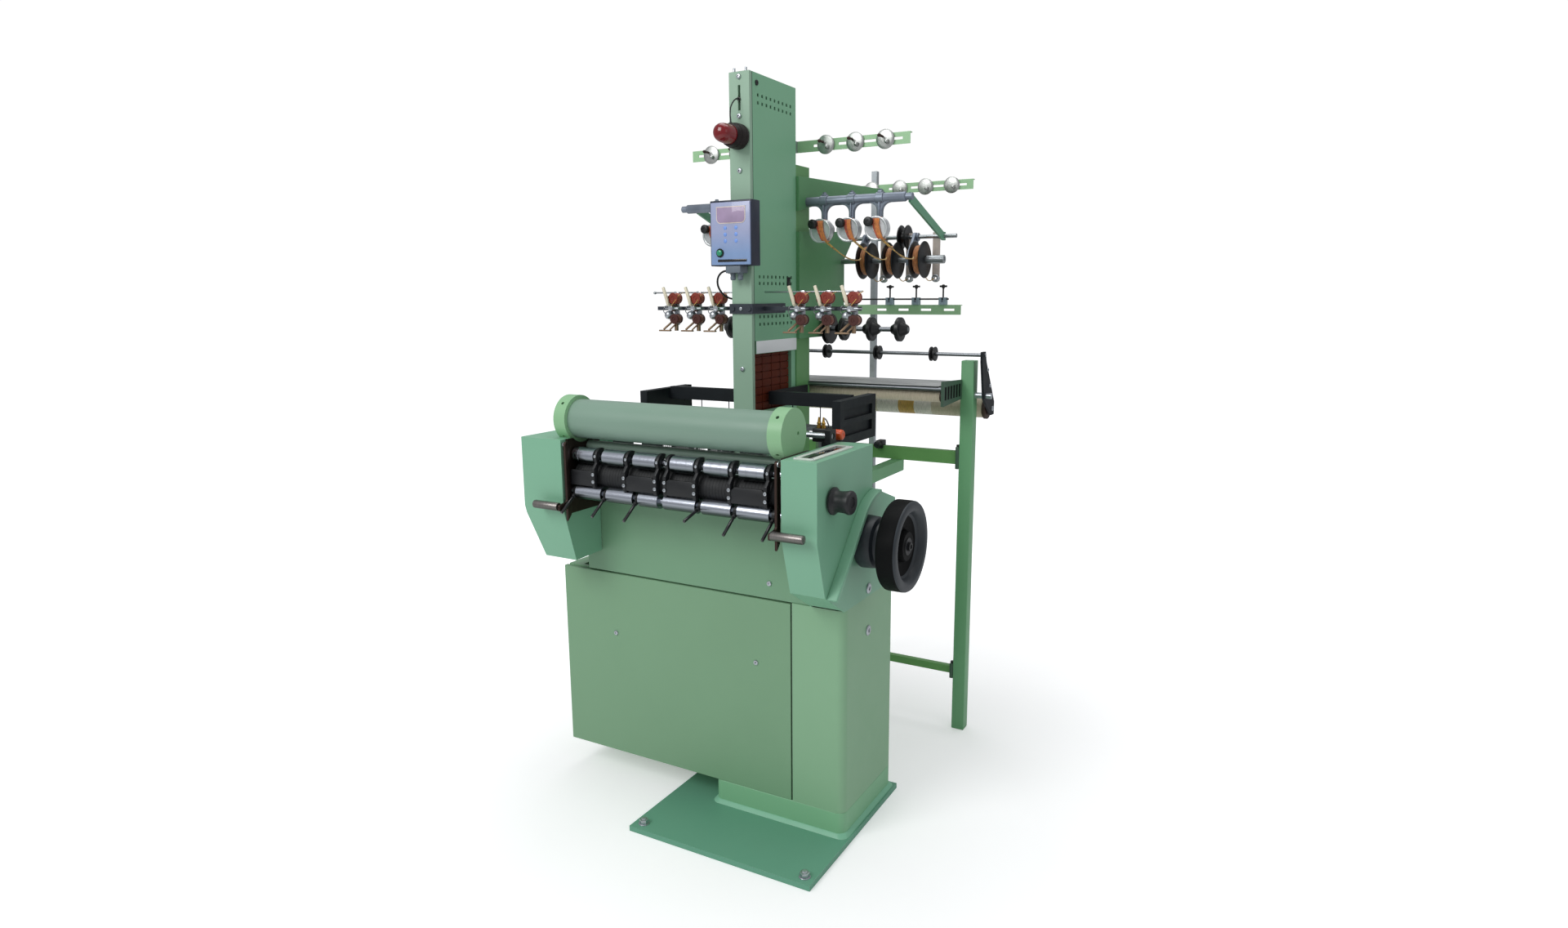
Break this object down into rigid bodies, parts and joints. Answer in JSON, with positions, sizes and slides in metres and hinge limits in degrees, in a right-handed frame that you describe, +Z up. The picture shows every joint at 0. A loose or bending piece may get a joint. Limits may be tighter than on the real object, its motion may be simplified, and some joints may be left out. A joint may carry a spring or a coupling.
{
  "type": "webbing loom",
  "caption": "Narrow-fabric needle loom: pedestal body, roller heads, pattern-chain tower, yarn creel, warp stand and handwheel",
  "frame": {"origin": "On the floor, under the middle of the base plate", "axes": "+X to the right along the rollers, toward the handwheel; +Y to the back, toward the warp stand; +Z up"},
  "size_m": [1.131, 1.5711, 2.172],
  "materials": {
    "base_green": "satin",
    "body_green": "satin",
    "door_green": "satin",
    "casing_green": "satin",
    "bed_green": "satin",
    "tower_green": "satin",
    "cover_green": "satin",
    "rail_green": "satin",
    "stand_green": "satin",
    "tube_paint": "satin",
    "cap_paint": "satin",
    "creel_paint": "satin",
    "zinc": "satin",
    "steel": "satin",
    "chrome": "polished",
    "black_paint": "satin",
    "black_plastic": "matte",
    "rubber": "matte",
    "motor_paint": "satin",
    "chain_brown": "satin",
    "box_metal": "satin",
    "button_green": "gloss",
    "lamp_red": "gloss",
    "cord_black": "matte",
    "graphite": "satin",
    "white_plastic": "satin",
    "spool_brown": "gloss",
    "roll_cream": "satin",
    "oiler": "satin"
  },
  "bodies": {
    "machine": {"base_plate": "base_green", "bolts_and_screws": "zinc", "pedestal_foot": "body_green", "machine_body": "body_green", "front_door": "door_green", "upper_front_cover": "bed_green", "head_bed": "bed_green", "left_casing": "casing_green", "right_casing": "casing_green", "oil_fittings": "oiler", "roller_side_plates": "steel", "front_tube": "tube_paint", "tube_end_caps": "cap_paint", "roller_brackets": "black_paint", "motor": "motor_paint", "drive_belt": "cord_black", "shed_frame": "black_paint", "pattern_chain": "chain_brown", "tower_frame": "tower_green", "tower_cover": "cover_green", "control_box": "box_metal", "control_box_lead": "cord_black", "beacon": "lamp_red", "beacon_lead": "cord_black", "creel_rails": "rail_green", "thread_tensioners": "chrome", "feeder_frame": "creel_paint", "feeder_drums": "white_plastic", "stop_switches": "zinc", "tensioner_bar": "graphite", "tension_spools": "spool_brown", "rear_stand": "stand_green"},
    "drive": {"main_shaft": "steel", "handwheel": "black_plastic"},
    "take_off": {"take_off_roller": "rubber", "take_off_knob": "black_plastic"},
    "press": {"press_rollers": "chrome"},
    "motor_rotor": {"motor_pulley": "steel"},
    "drum": {"pattern_drum": "steel"},
    "feed": {"feed_rollers": "black_plastic"},
    "guide": {"guide_wheels": "black_plastic"},
    "wheels": {"wheel_rod": "steel"},
    "warp": {"warp_roll": "roll_cream"},
    "left_release": {"left_release_lever": "chrome"},
    "right_release": {"right_release_lever": "chrome"},
    "batten_body": {"batten": "steel"},
    "weft": {"weft_needles": "steel"},
    "knit": {"knitting_needles": "steel"},
    "button": {"push_button": "button_green"},
    "stops": {"stop_levers": "black_plastic"},
    "lever_1": {"press_lever_1": "black_paint"},
    "lever_2": {"press_lever_2": "black_paint"},
    "lever_3": {"press_lever_3": "black_paint"},
    "lever_4": {"press_lever_4": "black_paint"},
    "lever_5": {"press_lever_5": "black_paint"},
    "lever_6": {"press_lever_6": "black_paint"},
    "heald_1": {"heald_frame_1": "steel"},
    "heald_2": {"heald_frame_2": "steel"},
    "heald_3": {"heald_frame_3": "steel"},
    "heald_4": {"heald_frame_4": "steel"}
  },
  "joints": [
    {"name": "main_shaft_spin", "type": "hinge", "parent": "machine", "child": "drive", "pos_m": [0, 0.05, 0.853], "axis": [1, 0, 0], "continuous": true},
    {"name": "take_off_spin", "type": "hinge", "parent": "machine", "child": "take_off", "pos_m": [0, -0.142, 1.002], "axis": [1, 0, 0], "continuous": true},
    {"name": "press_spin", "type": "hinge", "parent": "machine", "child": "press", "pos_m": [0, -0.16616, 1.0618], "axis": [1, 0, 0], "continuous": true},
    {"name": "motor_spin", "type": "hinge", "parent": "machine", "child": "motor_rotor", "pos_m": [0, 0.095, 0.248], "axis": [1, 0, 0], "continuous": true},
    {"name": "pattern_drum_spin", "type": "hinge", "parent": "machine", "child": "drum", "pos_m": [0, 0.372, 1.01], "axis": [1, 0, 0], "continuous": true},
    {"name": "feed_spin", "type": "hinge", "parent": "machine", "child": "feed", "pos_m": [0, 0.84, 1.632], "axis": [1, 0, 0], "continuous": true},
    {"name": "guide_wheels_spin", "type": "hinge", "parent": "machine", "child": "guide", "pos_m": [0, 0.7, 1.402], "axis": [1, 0, 0], "continuous": true},
    {"name": "wheel_rod_spin", "type": "hinge", "parent": "machine", "child": "wheels", "pos_m": [0, 0.765, 1.32], "axis": [1, 0, 0], "continuous": true},
    {"name": "warp_roll_spin", "type": "hinge", "parent": "machine", "child": "warp", "pos_m": [0, 0.866, 1.135], "axis": [1, 0, 0], "continuous": true},
    {"name": "left_release_pull", "type": "hinge", "parent": "machine", "child": "left_release", "pos_m": [0, -0.212, 1.097], "axis": [1, 0, 0], "range_deg": [-25, 0]},
    {"name": "right_release_pull", "type": "hinge", "parent": "machine", "child": "right_release", "pos_m": [0, -0.212, 1.097], "axis": [1, 0, 0], "range_deg": [-25, 0]},
    {"name": "batten_rock", "type": "hinge", "parent": "machine", "child": "batten_body", "pos_m": [0, 0, 0.74], "axis": [1, 0, 0], "range_deg": [-7, 7]},
    {"name": "weft_stroke", "type": "slide", "parent": "machine", "child": "weft", "axis": [1, 0, 0], "range_m": [0, 0.03]},
    {"name": "knit_rock", "type": "hinge", "parent": "machine", "child": "knit", "pos_m": [0, -0.075, 1.035], "axis": [1, 0, 0], "range_deg": [-6, 6]},
    {"name": "button_press", "type": "slide", "parent": "machine", "child": "button", "axis": [0, 1, 0], "range_m": [0, 0.004], "stiffness_N_per_m": 400},
    {"name": "stop_levers_tilt", "type": "hinge", "parent": "machine", "child": "stops", "pos_m": [0, 1.1, 1.499], "axis": [1, 0, 0], "range_deg": [-20, 20]},
    {"name": "press_lever_1_lift", "type": "hinge", "parent": "machine", "child": "lever_1", "pos_m": [0, -0.18507, 0.9574], "axis": [1, 0, 0], "range_deg": [-60, 10]},
    {"name": "press_lever_2_lift", "type": "hinge", "parent": "machine", "child": "lever_2", "pos_m": [0, -0.18507, 0.9574], "axis": [1, 0, 0], "range_deg": [-60, 10]},
    {"name": "press_lever_3_lift", "type": "hinge", "parent": "machine", "child": "lever_3", "pos_m": [0, -0.18507, 0.9574], "axis": [1, 0, 0], "range_deg": [-60, 10]},
    {"name": "press_lever_4_lift", "type": "hinge", "parent": "machine", "child": "lever_4", "pos_m": [0, -0.18507, 0.9574], "axis": [1, 0, 0], "range_deg": [-40, 30]},
    {"name": "press_lever_5_lift", "type": "hinge", "parent": "machine", "child": "lever_5", "pos_m": [0, -0.18507, 0.9574], "axis": [1, 0, 0], "range_deg": [-60, 10]},
    {"name": "press_lever_6_lift", "type": "hinge", "parent": "machine", "child": "lever_6", "pos_m": [0, -0.18507, 0.9574], "axis": [1, 0, 0], "range_deg": [-60, 10]},
    {"name": "heald_1_lift", "type": "slide", "parent": "machine", "child": "heald_1", "axis": [0, 0, 1], "range_m": [-0.025, 0.025]},
    {"name": "heald_2_lift", "type": "slide", "parent": "machine", "child": "heald_2", "axis": [0, 0, 1], "range_m": [-0.025, 0.025]},
    {"name": "heald_3_lift", "type": "slide", "parent": "machine", "child": "heald_3", "axis": [0, 0, 1], "range_m": [-0.025, 0.025]},
    {"name": "heald_4_lift", "type": "slide", "parent": "machine", "child": "heald_4", "axis": [0, 0, 1], "range_m": [-0.025, 0.025]}
  ],
  "couplings": [
    {"joint": "take_off_spin", "follows": "main_shaft_spin", "ratio": 0.05},
    {"joint": "press_spin", "follows": "main_shaft_spin", "ratio": -0.083333},
    {"joint": "motor_spin", "follows": "main_shaft_spin", "ratio": 2},
    {"joint": "pattern_drum_spin", "follows": "main_shaft_spin", "ratio": 0.125},
    {"joint": "feed_spin", "follows": "main_shaft_spin", "ratio": 0.1}
  ]
}
